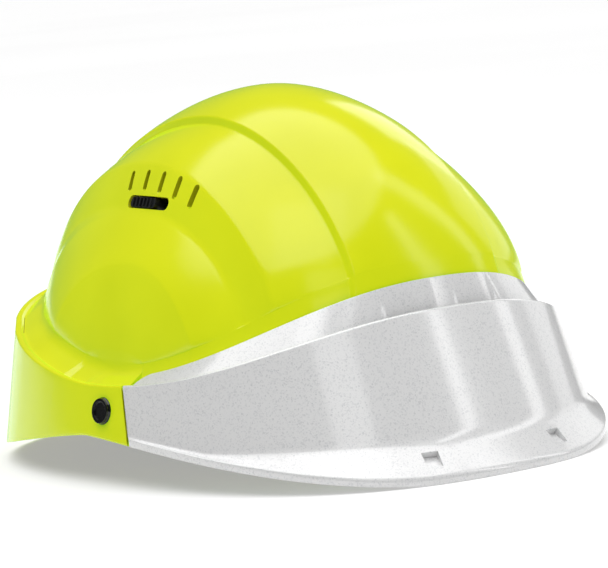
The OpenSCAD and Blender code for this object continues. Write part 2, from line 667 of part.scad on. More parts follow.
// The pad's top keeps clear of the lowest strap above it
function pad_z(r) =
    strap_bend_z + (strap_top - strap_bend_z) * sqrt(1 - pow(r / (band_half_w + 3), 2))
    - strap_t / 2 - gap - 0.4;
module crown_pad() {
    color(textile) translate([0, cross_y, 0]) rotate_extrude($fn = 64) polygon(concat(
        [for (k = [0:6]) let (r = pad_r * k / 6) [r, pad_z(r)]],
        [for (k = [6:-1:0]) let (r = pad_r * k / 6) [r, pad_z(r) - pad_t * (k == 6 ? 0.5 : 1)]]));
}

shell();
front_peak();
peak_plug_left();
peak_plug_right();
peak_clip_left();
peak_clip_right();
vent_guide_left();
vent_guide_right();
vent_shutter_left();
vent_shutter_right();
vent_knob_left();
vent_knob_right();
headband();
sweatband();
nape_tail_left();
nape_tail_right();
ratchet_housing();
ratchet_cover();
ratchet_pinion();
ratchet_knob();
ratchet_spring();
ratchet_screws();
nape_pad();
crown_strap_cross();
crown_strap_left();
crown_strap_right();
crown_pad();
strap_key_front_left();
strap_key_front_right();
strap_key_side_left();
strap_key_side_right();
strap_key_rear_left();
strap_key_rear_right();
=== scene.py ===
# Ventilated safety helmet: glossy stepped shell, white front peak, sliding vents,
# textile cradle and ratchet headband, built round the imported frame. Lengths below are
# millimetres unless a line says otherwise; meshes are made in metres.
import math

import bmesh
import bpy
import numpy as np
from mathutils import Matrix, Vector


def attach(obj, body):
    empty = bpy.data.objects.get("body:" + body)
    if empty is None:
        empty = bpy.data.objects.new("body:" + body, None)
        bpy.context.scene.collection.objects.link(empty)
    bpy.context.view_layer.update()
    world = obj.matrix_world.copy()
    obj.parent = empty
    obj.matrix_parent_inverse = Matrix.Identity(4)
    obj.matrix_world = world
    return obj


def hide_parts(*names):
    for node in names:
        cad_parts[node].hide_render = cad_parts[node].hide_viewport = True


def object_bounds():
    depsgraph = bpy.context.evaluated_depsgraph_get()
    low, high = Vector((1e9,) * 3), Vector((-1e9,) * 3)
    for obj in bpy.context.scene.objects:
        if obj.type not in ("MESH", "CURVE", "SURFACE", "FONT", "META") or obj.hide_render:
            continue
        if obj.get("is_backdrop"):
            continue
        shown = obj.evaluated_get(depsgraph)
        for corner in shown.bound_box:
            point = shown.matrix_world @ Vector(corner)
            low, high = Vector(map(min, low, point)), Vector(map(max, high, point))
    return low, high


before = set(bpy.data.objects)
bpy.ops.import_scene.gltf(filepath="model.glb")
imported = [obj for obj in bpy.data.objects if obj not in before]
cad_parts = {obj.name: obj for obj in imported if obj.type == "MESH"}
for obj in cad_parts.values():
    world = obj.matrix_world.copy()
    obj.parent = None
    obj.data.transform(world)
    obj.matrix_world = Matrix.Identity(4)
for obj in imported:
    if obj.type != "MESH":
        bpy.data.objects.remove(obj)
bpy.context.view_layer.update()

mm = 0.001
scene = bpy.context.scene


def linear(hexCode):
    parts = [int(hexCode[i:i + 2], 16) / 255 for i in (1, 3, 5)]
    return [p / 12.92 if p <= 0.04045 else ((p + 0.055) / 1.055) ** 2.4 for p in parts] + [1.0]


def interp(x, table):
    return np.interp(x, [row[0] for row in table], [row[1] for row in table])


# the helmet as curves round it and a height field over it
helmet = dict(
    skirtHalfWidth=107.5, skirtLength=146.0, crown=156.0, wall=2.6, earArch=20.5,
    lipHalfWidth=103.75, lipFront=114.5, lipRear=129.5, lipWidth=2.4,
    domeHalfWidth=89.9, domeFront=105.4, domeRear=124.4, foldFront=133.7, foldHeight=15.8,
    planPower=2.4, domePower=2.3, seamAngle=81.0, peakRecess=3.2, peakWall=2.4, brim=3.2,
    # front, side and rear heights of the lip and of the dome's foot, and how fast each rises
    lipLevels=(65.6, 41.6, 72), lipRise=(2.16, 1.22),
    footLevels=(81.4, 44.6, 77.4), footRise=(1.71, 1.22))
footFront, footSide, footRear = helmet["footLevels"]
creases = dict(
    steps=[[0, 0], [33, 0.8], [34.6, -1.8], [55, 2.2], [66.5, -1.8], [77.5, 2.2], [89.9, 0]],
    soften=[[0, 7], [26, 3], [31.5, 0.45], [36, 0.45], [43, 1.5], [52, 1.0], [60, 1.0],
            [66, 1.1], [70, 1.1], [75, 0.55], [80, 0.55], [90, 1.2]],
    toeIn=[[0, 0], [33, 0.026], [55, 0.095], [66.5, 0.07], [77.5, 0], [89.9, 0]],
    bowOut=[[0, 0], [66.5, 0], [77.5, 0.0019], [89.9, 0]],
    footFade=0.55)
archPower = 1.86
archStart = math.cos(math.radians(11.65)) ** (2 / archPower)
archBase = (1 - archStart ** archPower) ** (1 / archPower)


def signedPow(v, p):
    return np.sign(v) * np.abs(v) ** p


def planLine(t, halfWidth, front, rear, n):
    s, c = np.sin(np.radians(t)), np.cos(np.radians(t))
    c = np.where(np.abs(c) < 1e-9, 0, c)
    return halfWidth * signedPow(s, 2 / n), -np.where(c > 0, front, rear) * signedPow(c, 2 / n)


def levelLine(t, front, side, rear, powFront, powRear):
    c = np.cos(np.radians(t))
    return side + np.where(c > 0, (front - side) * np.clip(c, 0, 1) ** powFront,
                           (rear - side) * np.clip(-c, 0, 1) ** powRear)


def line(t, halfWidth, front, rear, n, z):
    x, y = planLine(t, halfWidth, front, rear, n)
    return np.stack([x, y, z], -1)


def rimHeight(t):
    return np.maximum(0, levelLine(t, -1, helmet["earArch"], -1, 1.15, 1.0))


def skirtLine(t):
    h = helmet
    return line(t, h["skirtHalfWidth"], h["skirtLength"], h["skirtLength"], h["planPower"],
                rimHeight(t))


def lipLine(t):
    h = helmet
    return line(t, h["lipHalfWidth"], h["lipFront"], h["lipRear"], h["planPower"],
                levelLine(t, *h["lipLevels"], *h["lipRise"]))


def foldLine(t):
    h = helmet
    return line(t, h["skirtHalfWidth"] - 1.4, h["foldFront"], h["skirtLength"] - 8,
                h["planPower"], np.maximum(h["foldHeight"], rimHeight(t) + h["brim"] + 1))


def baseLine(t, shrink=(0, 0)):
    h = helmet
    return line(t, h["domeHalfWidth"] - shrink[0], h["domeFront"] - shrink[1],
                h["domeRear"] - shrink[1], h["domePower"],
                levelLine(t, *h["footLevels"], *h["footRise"]))


def inset(p, d, drop=0.0):
    out = np.stack([p[..., 0] / helmet["lipHalfWidth"] ** 2, p[..., 1] / helmet["lipRear"] ** 2,
                    np.zeros(p.shape[:-1])], -1)
    out /= np.linalg.norm(out, axis=-1, keepdims=True)
    d, drop = np.asarray(d, float), np.asarray(drop, float)
    return p - d[..., None] * out - drop[..., None] * np.array([0, 0, 1.0])


def endY(y):
    return np.where(y < 0, helmet["domeFront"], helmet["domeRear"])


def footX(y, shrink=(0, 0)):
    n = helmet["domePower"]
    q = np.clip(np.abs(y) / (endY(y) - shrink[1]), 0, 1)
    return (helmet["domeHalfWidth"] - shrink[0]) * np.clip(1 - q ** n, 0, 1) ** (1 / n)


def arch(q):
    a = (np.clip(1 - (archStart * np.clip(q, 0, 1)) ** archPower, 0, 1)) ** (1 / archPower)
    return (a - archBase) / (1 - archBase)


def domeHeight(x, y):
    n = helmet["domePower"]
    q = np.abs(y) / endY(y)
    risePower = np.where(y < 0, *helmet["footRise"]) * n / 2
    foot = np.where(y < 0, footFront, footRear)
    base = footSide + (foot - footSide) * q ** risePower
    crest = foot + (helmet["crown"] - foot) * arch(q)
    return base + (crest - base) * arch(np.abs(x) / np.maximum(footX(y), 0.001))


def domeNormal(p):
    n = np.stack([p[..., 0] / helmet["domeHalfWidth"] ** 2, p[..., 1] / endY(p[..., 1]) ** 2,
                  np.maximum(0, p[..., 2] - footSide) / (helmet["crown"] - footSide) ** 2], -1)
    return n / np.linalg.norm(n, axis=-1, keepdims=True)


def creaseStep(u):
    fine = np.linspace(-20, 100, 12001)
    value = interp(np.abs(fine), creases["steps"])
    area = np.concatenate([[0], np.cumsum((value[1:] + value[:-1]) / 2 * np.diff(fine))])
    r = interp(u, creases["soften"])
    return (np.interp(u + r, fine, area) - np.interp(u - r, fine, area)) / (2 * r)


def ringX(u, y):
    return np.minimum(helmet["domeHalfWidth"] - 0.01,
                      u - interp(u, creases["toeIn"]) * y + interp(u, creases["bowOut"]) * y * y)


def bisect(f, low, high):
    for _ in range(46):
        mid = (low + high) / 2
        up = f(mid) > 0
        low, high = np.where(up, mid, low), np.where(up, high, mid)
    return (low + high) / 2


# mesh helpers
def roundPath(points, cuts, arcs=4, spans=None, closed=False):
    # points is (columns, corners, 3); cuts gives how far from each corner its rounding starts
    k = points.shape[1]
    rows = []
    for j in range(k):
        here = points[:, j]
        if not closed and j in (0, k - 1):
            rows.append(here[:, None])
        else:
            before, after = points[:, j - 1], points[:, (j + 1) % k]
            a, b = before - here, after - here
            la = np.linalg.norm(a, axis=1, keepdims=True) + 1e-9
            lb = np.linalg.norm(b, axis=1, keepdims=True) + 1e-9
            cut = cuts[j] if isinstance(cuts[j], tuple) else (cuts[j], cuts[j])
            p0 = here + a / la * np.minimum(cut[0], 0.45 * la)
            p1 = here + b / lb * np.minimum(cut[1], 0.45 * lb if cut[1] < 50 else lb)
            s = np.linspace(0, 1, arcs + 1)[None, :, None]
            rows.append((1 - s) ** 2 * p0[:, None] + 2 * s * (1 - s) * here[:, None]
                        + s * s * p1[:, None])
    out = []
    for j in range(k):
        out.append(rows[j])
        if j < k - 1 or closed:
            n = spans[j] if spans else 0
            a, b = rows[j][:, -1:], rows[(j + 1) % k][:, :1]
            s = (np.arange(1, n + 1) / (n + 1))[None, :, None]
            out.append(a + (b - a) * s)
    return np.concatenate(out, 1)


def makeMesh(name, verts, faces, metres=False):
    mesh = bpy.data.meshes.new(name)
    scaled = np.asarray(verts, float) * (1 if metres else mm)
    mesh.from_pydata(scaled.tolist(), [], [list(f) for f in faces])
    mesh.validate()
    obj = bpy.data.objects.new(name, mesh)
    scene.collection.objects.link(obj)
    return obj


def cleanMesh(obj, merge=1e-6, angle=0.6):
    bm = bmesh.new()
    bm.from_mesh(obj.data)
    bmesh.ops.remove_doubles(bm, verts=bm.verts, dist=merge)
    bmesh.ops.dissolve_degenerate(bm, edges=bm.edges, dist=merge)
    bmesh.ops.recalc_face_normals(bm, faces=bm.faces)
    for edge in bm.edges:
        edge.smooth = len(edge.link_faces) == 2 and edge.calc_face_angle(0) < angle
    for face in bm.faces:
        face.smooth = True
    bm.to_mesh(obj.data)
    bm.free()
    return obj


def gridFaces(rows, columns, closeRows=False, closeColumns=False):
    i = np.arange(rows if closeRows else rows - 1)
    j = np.arange(columns if closeColumns else columns - 1)
    a, b = np.meshgrid(i, j, indexing="ij")
    a2, b2 = (a + 1) % rows, (b + 1) % columns
    return np.stack([a * columns + b, a2 * columns + b, a2 * columns + b2, a * columns + b2],
                    -1).reshape(-1, 4)


def bake(obj):
    graph = bpy.context.evaluated_depsgraph_get()
    mesh = bpy.data.meshes.new_from_object(obj.evaluated_get(graph))
    obj.modifiers.clear()
    old, obj.data = obj.data, mesh
    mesh.name = obj.name
    if old.users == 0:
        bpy.data.meshes.remove(old)
    return obj


def carve(target, cutter):
    modifier = target.modifiers.new("carve", "BOOLEAN")
    modifier.operation, modifier.solver, modifier.object = "DIFFERENCE", "MANIFOLD", cutter
    bpy.context.view_layer.update()
    bake(target)
    bpy.data.objects.remove(cutter)
    return target


def weighted(obj):
    modifier = obj.modifiers.new("even shading", "WEIGHTED_NORMAL")
    modifier.keep_sharp = True
    modifier.weight = 80
    return obj


# the shell: rings over the dome, columns down the ledge, the lip and the skirt
skin = dict(along=112, filletWide=3.0, footShrink=(0.5, 0.8), lipRound=1.0, rimRound=1.0,
            windowDrop=1.3, windowFrom=91.5, windowTo=99.0)
footShrink = skin["footShrink"]


def footAngle(y):
    share = np.clip(footX(y, footShrink) / (helmet["domeHalfWidth"] - footShrink[0]), 0, 1)
    a = np.degrees(np.arcsin(share ** (helmet["domePower"] / 2)))
    return np.where(y < 0, a, 180 - a)


def ringFoot(u, rear):
    end = (helmet["domeRear"] if rear else -helmet["domeFront"])
    end = end - math.copysign(footShrink[1], end)
    return bisect(lambda y: footX(y, footShrink) - ringX(u, y), np.zeros_like(u),
                  np.full_like(u, end))


def ringForAngle(t):
    return float(bisect(lambda u: t - footAngle(ringFoot(u, False)), np.array([70.0]),
                        np.array([89.3]))[0])


def window(t, low, high, soft=1.6):
    return np.clip((t - low) / soft, 0, 1) * np.clip((high - t) / soft, 0, 1)


def buildShell():
    h, s = helmet, skin
    seamRing = ringForAngle(h["seamAngle"])
    near = []
    for at, r in ((33, 0.45), (34.6, 0.45), (55, 1.0), (66.5, 1.1), (77.5, 0.55)):
        near += [at + r * k for k in (-1.6, -1.1, -0.7, -0.35, 0, 0.35, 0.7, 1.1, 1.6)]
    coarse = list(np.arange(0, 76, 3.0)) + [ringForAngle(t) for t in np.arange(66, 80.5, 1.8)]
    rings = sorted(near)
    rings = sorted(rings + [c for c in coarse if min(abs(c - n) for n in near) > 1.1])
    rings = [u for u in rings if u < seamRing - 0.25]
    rings += [ringForAngle(h["seamAngle"] - 0.12), seamRing]
    u = np.array(rings)
    front, rear = ringFoot(u, False), ringFoot(u, True)
    w = np.linspace(-1, 1, s["along"] + 1)
    ease = np.sin(np.pi / 2 * w)
    y = np.where(w[None] < 0, -front[:, None] * ease[None], rear[:, None] * ease[None])
    x = ringX(u[:, None] + 0 * y, y)
    x[:, 0], x[:, -1] = footX(front, footShrink), footX(rear, footShrink)
    fade = 1 - creases["footFade"] * np.abs(w) ** 6
    lift = creaseStep(u)[:, None] * fade[None]
    tf, tr = footAngle(front), footAngle(rear)
    # the last ring runs along the foot of the dome over the ear
    sideT = np.linspace(tf[-1], tr[-1], s["along"] + 1)
    edge = baseLine(sideT, footShrink)
    for share in (0.34, 0.67, 1.0):
        share = share * (np.abs(w) < 1)
        x = np.vstack([x, x[len(u) - 1] * (1 - share) + edge[:, 0] * share])
        y = np.vstack([y, y[len(u) - 1] * (1 - share) + edge[:, 1] * share])
        lift = np.vstack([lift, lift[len(u) - 1] * (1 - share)])
    flat = np.stack([x, y, domeHeight(x, y)], -1)
    dome = flat + lift[..., None] * domeNormal(flat)
    inner = flat + np.minimum(lift, 0)[..., None] * domeNormal(flat) - h["wall"] * domeNormal(flat)
    # columns: every ring's front foot, the points over the ear, every ring's rear foot
    t = np.concatenate([tf, sideT[1:-1], tr[::-1]])
    low = (t < h["seamAngle"] - 0.06)
    r = np.where(low, h["peakRecess"], 0.0)
    footLift = np.concatenate([lift[:len(u), 0], 0 * sideT[1:-1], lift[:len(u), -1][::-1]])
    q2 = np.concatenate([dome[:len(u), 0], dome[-1, 1:-1], dome[:len(u), -1][::-1]])
    in2 = np.concatenate([inner[:len(u), 0], inner[-1, 1:-1], inner[:len(u), -1][::-1]])
    base = baseLine(t)
    base = base + footLift[:, None] * domeNormal(base)
    lip, skirt = lipLine(t), skirtLine(t)
    under = inset(foldLine(t) * 0.78 + lip * 0.22, r)
    rim = np.where(low[:, None], under, skirt)
    deep = s["windowDrop"] * window(t, s["windowFrom"], s["windowTo"])
    gutter = inset(lip, r + h["lipWidth"] + 0.2, r + 2.2 + deep)
    ledge = gutter + (base - np.stack([0 * r, 0 * r, r], -1) - gutter) * 0.12
    wall = h["wall"]
    # under the peak the lip is cut back, clear of the peak's own wall
    sink = np.where(low, 1.0, 0.0)
    corners = np.stack([
        in2, inset(base, wall, wall), inset(ledge, 0, wall), inset(lip, r + wall + 1.6, r + wall),
        inset(lip, r + wall, r + wall + 1.5), inset(rim, wall), rim, inset(lip, r, 1.2 * r),
        inset(lip, r + h["lipWidth"], r + 0.2 + 1.6 * sink), ledge, base, q2], 1)
    path = roundPath(corners, [0, 1.5, 1.0, 1.0, 1.0, s["rimRound"], s["rimRound"], s["lipRound"],
                               0.7, 1.0, (s["filletWide"], 99), 0],
                     4, [0, 1, 0, 0, 5, 0, 8, 0, 0, 3, 0])
    return u, dome, inner, path


def shellMesh():
    u, dome, inner, path = buildShell()
    verts, faces, columns = [], [], []
    n, m = dome.shape[:2]
    for side in (1, -1):
        flip = np.array([side, 1, 1])
        for patch, order in ((dome, 1), (inner, -1)):
            start = sum(len(v) for v in verts)
            verts.append((patch * flip).reshape(-1, 3))
            f = gridFaces(n, m) + start
            faces.append(f[:, ::order * side])
        start = sum(len(v) for v in verts)
        c, p = path.shape[:2]
        verts.append((path * flip).reshape(-1, 3))
        f = gridFaces(c, p) + start
        faces.append(f[:, ::side])
    obj = makeMesh("shellSkin", np.concatenate(verts), np.concatenate(faces))
    return cleanMesh(obj, 5e-6, 0.65)


shellSkin = shellMesh()
print("shell skin", len(shellSkin.data.polygons), "faces")


# the front peak: one closed section swept round the front, with soft edges
peak = dict(endAngle=80.5, rows=220, ledgeReach=0.78, windowDrop=2.6, windowFrom=1.9,
            windowTo=13.9, cornerAngle=4.0, socketAngle=13.5, socket=7.0, socketTilt=34)


def peakSection(t):
    h, p = helmet, peak
    lip, fold, rim = lipLine(t), foldLine(t), skirtLine(t)
    wall, width = h["peakWall"], h["lipWidth"]
    up = np.array([0, 0, 1.0])
    gutter = inset(lip, width, 2.2)
    # the ledge's rear corners are round in plan
    near = np.clip((t - p["endAngle"] + p["cornerAngle"]) / p["cornerAngle"], 0, 1)
    reach = p["ledgeReach"] * (0.12 + 0.88 * np.sqrt(np.clip(1 - near ** 2, 0, 1)))
    ledge = gutter + (baseLine(t) - gutter) * reach[:, None]
    deep = p["windowDrop"] * window(t, p["windowFrom"], p["windowTo"], 0.9)
    brimTop = rim + h["brim"] * up
    root = np.where(fold[:, 2] - rim[:, 2] > h["brim"] + 1.2, 1.0, 0.5)
    low = inset(fold, wall) - (h["brim"] * root)[:, None] * up
    return np.stack([
        ledge, inset(lip, width + 1.2 + 0.5 * deep / 2.6, 1.8 + deep), inset(lip, width, 0.1), lip,
        fold, brimTop * 0.96 + fold * 0.04, brimTop * 0.75 + rim * 0.25, rim, inset(rim, 1.6),
        low, inset(fold, wall) + 4 * up, inset(lip, wall, wall),
        inset(lip, wall + width, wall + 2),
        inset(ledge, 0, wall)], 1)


def peakMesh():
    p = peak
    s = np.linspace(-1, 1, p["rows"] + 1)
    t = p["endAngle"] * (0.82 * s + 0.18 * np.sin(np.pi / 2 * s))
    corners = peakSection(np.abs(t))
    corners[..., 0] *= np.where(t < 0, -1, 1)[:, None]
    cuts = [0.5, 1.2, 0.7, 0.9, 3.0, 0.8, 0.9, 0.9, 0.4, 1.5, 1.5, 1.0, 0.8, 0.5]
    path = roundPath(corners, cuts, 4, [2, 0, 0, 6, 5, 0, 0, 0, 3, 0, 5, 0, 0, 2], closed=True)
    n, m = path.shape[:2]
    verts = path.reshape(-1, 3)
    faces = [list(f) for f in gridFaces(n, m, False, True)]
    faces += [list(range(m))[::-1], [(n - 1) * m + k for k in range(m)]]
    return cleanMesh(makeMesh("frontPeak", verts, faces), 5e-6, 0.65)


frontPeak = peakMesh()
print("front peak", len(frontPeak.data.polygons), "faces")


# materials
def startMaterial(name):
    material = bpy.data.materials.new(name)
    material.use_nodes = True
    tree = material.node_tree
    tree.nodes.clear()
    return material, tree


def addNode(tree, kind, settings=None, links=None):
    # a setting is an input, a property, or the two stops of a colour ramp
    node = tree.nodes.new(kind)
    for key, value in (settings or {}).items():
        if key == "stops":
            for element, (place, colour) in zip(node.color_ramp.elements, value):
                element.position, element.color = place, linear(colour)
        elif isinstance(key, int) or key in node.inputs:
            node.inputs[key].default_value = value
        else:
            setattr(node, key, value)
    for key, source in (links or {}).items():
        tree.links.new(source, node.inputs[key])
    return node


def finishMaterial(tree, settings, links):
    shader = addNode(tree, "ShaderNodeBsdfPrincipled", settings, links)
    addNode(tree, "ShaderNodeOutputMaterial", None, {"Surface": shader.outputs[0]})
    return shader


mottle = (0.35, 0.65)  # where a soft noise turns from its lower to its upper colour


def paintSolid(name, low, high, sizeMm, rough, bumpMm, settings=None):
    # one slightly uneven finish: a soft noise mottles the colour and lifts the surface
    material, tree = startMaterial(name)
    place = addNode(tree, "ShaderNodeTexCoord")
    noise = addNode(tree, "ShaderNodeTexNoise", {"Scale": 1 / (sizeMm * mm), "Detail": 3.0},
                    {"Vector": place.outputs["Object"]})
    tint = addNode(tree, "ShaderNodeValToRGB", {"stops": zip(mottle, (low, high))},
                   {0: noise.outputs["Fac"]})
    bump = addNode(tree, "ShaderNodeBump", {"Distance": bumpMm * mm},
                   {"Height": noise.outputs["Fac"]})
    finishMaterial(tree, {"Roughness": rough, **(settings or {})},
                   {"Base Color": tint.outputs["Color"], "Normal": bump.outputs["Normal"]})
    return material


def makeShellPlastic(name, shade, light, glow):
    # injection-moulded ABS with a daylight-fluorescent pigment: wet gloss, a faint orange
    #  peel from the mould, and a constant greenish emission, painted light in place of the
    #  pigment's fluorescence, that keeps the shaded sides lit
    look = shellLook
    material, tree = startMaterial(name)
    place = addNode(tree, "ShaderNodeTexCoord")
    broad = addNode(tree, "ShaderNodeTexNoise",
                    {"Scale": 1 / (look["mottleMm"] * mm), "Detail": 1.5},
                    {"Vector": place.outputs["Object"]})
    peel = addNode(tree, "ShaderNodeTexNoise",
                   {"Scale": 1 / (look["peelMm"] * mm), "Detail": 2.0},
                   {"Vector": place.outputs["Object"]})
    tint = addNode(tree, "ShaderNodeValToRGB", {"stops": zip(mottle, (shade, light))},
                   {0: broad.outputs["Fac"]})
    bump = addNode(tree, "ShaderNodeBump", {"Distance": look["peelDepth"] * mm},
                   {"Height": peel.outputs["Fac"]})
    finishMaterial(tree, {"Roughness": look["roughness"], "IOR": 1.54,
                          "Specular IOR Level": 0.28,
                          "Emission Color": linear(look["glow"]),
                          "Emission Strength": glow},
                   {"Base Color": tint.outputs["Color"], "Normal": bump.outputs["Normal"]})
    return material


def makePeakPlastic():
    # white ABS with a mineral fleck, moulded and lightly textured: satin with a fine sparkle
    material, tree = startMaterial("fleckedWhiteAbs")
    place = addNode(tree, "ShaderNodeTexCoord")
    fleck = addNode(tree, "ShaderNodeTexVoronoi", {"Scale": 1 / (peakLook["fleckMm"] * mm)},
                    {"Vector": place.outputs["Object"]})
    grain = addNode(tree, "ShaderNodeTexNoise",
                    {"Scale": 1 / (peakLook["grainMm"] * mm), "Detail": 2.0},
                    {"Vector": place.outputs["Object"]})
    tint = addNode(tree, "ShaderNodeValToRGB",
                   {"stops": [(0.0, peakLook["fleckDark"]), (0.4, peakLook["light"])]},
                   {0: fleck.outputs["Color"]})
    height = addNode(tree, "ShaderNodeMath", {"operation": "ADD"},
                     {0: grain.outputs["Fac"], 1: fleck.outputs["Distance"]})
    bump = addNode(tree, "ShaderNodeBump", {"Distance": peakLook["grainDepth"] * mm},
                   {"Height": height.outputs[0]})
    finishMaterial(tree, {"Roughness": peakLook["roughness"], "IOR": 1.53, "Coat Weight": 1.0,
                          "Coat Roughness": 0.13, "Coat IOR": 1.75},
                   {"Base Color": tint.outputs["Color"], "Normal": bump.outputs["Normal"]})
    return material


# the glow colour and its strength make a constant emission on the shell: painted light
shellLook = dict(shade="#D4B00C", light="#D9B610", glow="#10FF28", paintedGlowStrength=0.29,
                 # the two inside colours are darker than the outside ones: painted shade
                 paintedShadeLow="#9DA00C", paintedShadeHigh="#A9AC10", roughness=0.16, mottleMm=38,
                 peelMm=5.5, peelDepth=0.02)
peakLook = dict(fleckMm=0.55, fleckDark="#C2C3C5", light="#DCDCDC", grainMm=0.7,
                grainDepth=0.03, roughness=0.34)
shellPlastic = makeShellPlastic("fluorescentMouldedAbs", shellLook["shade"],
                                shellLook["light"], shellLook["paintedGlowStrength"])
# a darker copy of the same plastic without the glow, for the inside and the slots' flanks: painted
# shade
shellInsidePaintedShade = makeShellPlastic("fluorescentMouldedAbsInside", shellLook["paintedShadeLow"],
                               shellLook["paintedShadeHigh"], 0.0)
peakPlastic = makePeakPlastic()
# glass-filled nylon, moulded: near black with a satin skin
blackNylon = paintSolid("mouldedBlackNylon", "#101112", "#1A1B1D", 3, 0.34, 0.02)
# glossy black acetal, moulded: the plug's polished head
blackAcetal = paintSolid("polishedBlackAcetal", "#0B0C0D", "#121314", 6, 0.12, 0.008)
# polyethylene, moulded: soft grey with a waxy sheen
greyPolyethylene = paintSolid("mouldedGreyPolyethylene", "#54575B", "#62656A", 8, 0.42, 0.02,
                              {"Subsurface Weight": 0.03})
# white acetal gear, moulded: smooth and slightly translucent
whiteAcetal = paintSolid("mouldedWhiteAcetal", "#E4E4DF", "#EFEFEA", 5, 0.3, 0.008)
# spring steel strip, rolled and tempered: cool grey with a drawn grain
springSteel = paintSolid("rolledSpringSteel", "#8C8F93", "#A9ACB0", 0.8, 0.27, 0.01,
                         {"Metallic": 1.0})
# zinc-plated steel screw: pale metal, slightly milky
zincSteel = paintSolid("zincPlatedSteel", "#A7A9A8", "#C4C6C5", 1.5, 0.3, 0.01, {"Metallic": 1.0})


# one node tree sets copies of a small piece along a path
def pathOf(name, points):
    mesh = bpy.data.meshes.new(name)
    scaled = (np.asarray(points, float) * mm).tolist()
    mesh.from_pydata(scaled, [(i, i + 1) for i in range(len(scaled) - 1)], [])
    obj = bpy.data.objects.new(name, mesh)
    scene.collection.objects.link(obj)
    return obj


def rowAlong(name, points, piece, count, material, towards):
    # copies of piece from end to end of the path, their backs turned to the point towards
    host = pathOf(name, points)
    tree = bpy.data.node_groups.new(name + "Row", "GeometryNodeTree")
    face = tree.interface
    face.new_socket("Geometry", in_out="INPUT", socket_type="NodeSocketGeometry")
    copiesSocket = face.new_socket("Copies", in_out="INPUT",
                                   socket_type="NodeSocketInt").identifier
    face.new_socket("Geometry", in_out="OUTPUT", socket_type="NodeSocketGeometry")
    enter = addNode(tree, "NodeGroupInput")
    curve = addNode(tree, "GeometryNodeMeshToCurve", None, {0: enter.outputs["Geometry"]})
    spread = addNode(tree, "GeometryNodeCurveToPoints", {"mode": "COUNT"},
                     {"Curve": curve.outputs[0], "Count": enter.outputs["Copies"]})
    shape = addNode(tree, "GeometryNodeObjectInfo", {"Object": piece})
    along = addNode(tree, "FunctionNodeAlignEulerToVector", {"axis": "Y"},
                    {"Vector": spread.outputs["Tangent"]})
    place = addNode(tree, "GeometryNodeInputPosition")
    away = addNode(tree, "ShaderNodeVectorMath",
                   {"operation": "SUBTRACT", 1: [c * mm for c in towards]},
                   {0: place.outputs[0]})
    turn = addNode(tree, "FunctionNodeAlignEulerToVector", {"axis": "Z", "pivot_axis": "Y"},
                   {"Rotation": along.outputs[0], "Vector": away.outputs["Vector"]})
    copies = addNode(tree, "GeometryNodeInstanceOnPoints", None,
                     {"Points": spread.outputs["Points"], "Instance": shape.outputs["Geometry"],
                      "Rotation": turn.outputs[0]})
    real = addNode(tree, "GeometryNodeRealizeInstances", None, {0: copies.outputs[0]})
    paint = addNode(tree, "GeometryNodeSetMaterial", {"Material": material},
                    {"Geometry": real.outputs[0]})
    addNode(tree, "NodeGroupOutput", None, {0: paint.outputs[0]})
    modifier = host.modifiers.new("row", "NODES")
    modifier.node_group = tree
    modifier[copiesSocket] = int(count)
    bpy.context.view_layer.update()
    bake(host)
    bpy.data.objects.remove(piece)
    return host


def prism(name, outline, levels):
    # levels are (height, growth of the outline there), from the bottom up
    n = len(outline)
    verts, faces = [], []
    outline = np.asarray(outline, float)
    out = outline - outline.mean(0)
    out /= np.linalg.norm(out, axis=1, keepdims=True)
    for z, grow in levels:
        verts += [(p[0] + grow * q[0], p[1] + grow * q[1], z) for p, q in zip(outline, out)]
    for k in range(len(levels) - 1):
        faces += [(k * n + i, k * n + (i + 1) % n, (k + 1) * n + (i + 1) % n, (k + 1) * n + i)
                  for i in range(n)]
    faces += [tuple(range(n))[::-1], tuple((len(levels) - 1) * n + i for i in range(n))]
    return makeMesh(name, verts, faces)


def stadium(length, width, arc=10):
    r, half = width / 2, (length - width) / 2
    a = np.linspace(-math.pi / 2, math.pi / 2, arc + 1)
    right = [(half + r * math.cos(k), r * math.sin(k)) for k in a]
    return right + [(-x, -y) for x, y in right]


# vent slots, thumb slot and brim sockets, cut out of the skins
vents = dict(at=(60.9, 0.0, 116.9), tilt=68.0, turn=4.8, slots=5, pitch=12.8, width=2.7,
             length=9.0, thumbAt=(-5.5, 5.0), thumbLength=32.0, thumbWidth=5.6,
             edge=0.55, thumbEdge=0.9)


def ventFrame(side):
    turn = Matrix.Rotation(math.radians(vents["turn"]), 4, "Z") @ Matrix.Rotation(
        math.radians(vents["tilt"]), 4, "Y") @ Matrix.Scale(-1, 4, (1, 0, 0))
    frameAt = Matrix.Translation(vents["at"]) @ turn
    return Matrix.Scale(side, 4, (1, 0, 0)) @ frameAt if side < 0 else frameAt


def intoFrame(obj, matrix):
    scaled = matrix.copy()
    scaled.translation = scaled.translation * mm
    obj.data.transform(scaled)
    if scaled.determinant() < 0:
        obj.data.flip_normals()
    return obj


def slotPlaces():
    v = vents
    ys = [v["pitch"] * (k - (v["slots"] - 1) / 2) - 1.2 for k in range(v["slots"])]
    return [(4.3 - 0.0038 * (y - 11) ** 2, y, 2 + 0.45 * y) for y in ys]


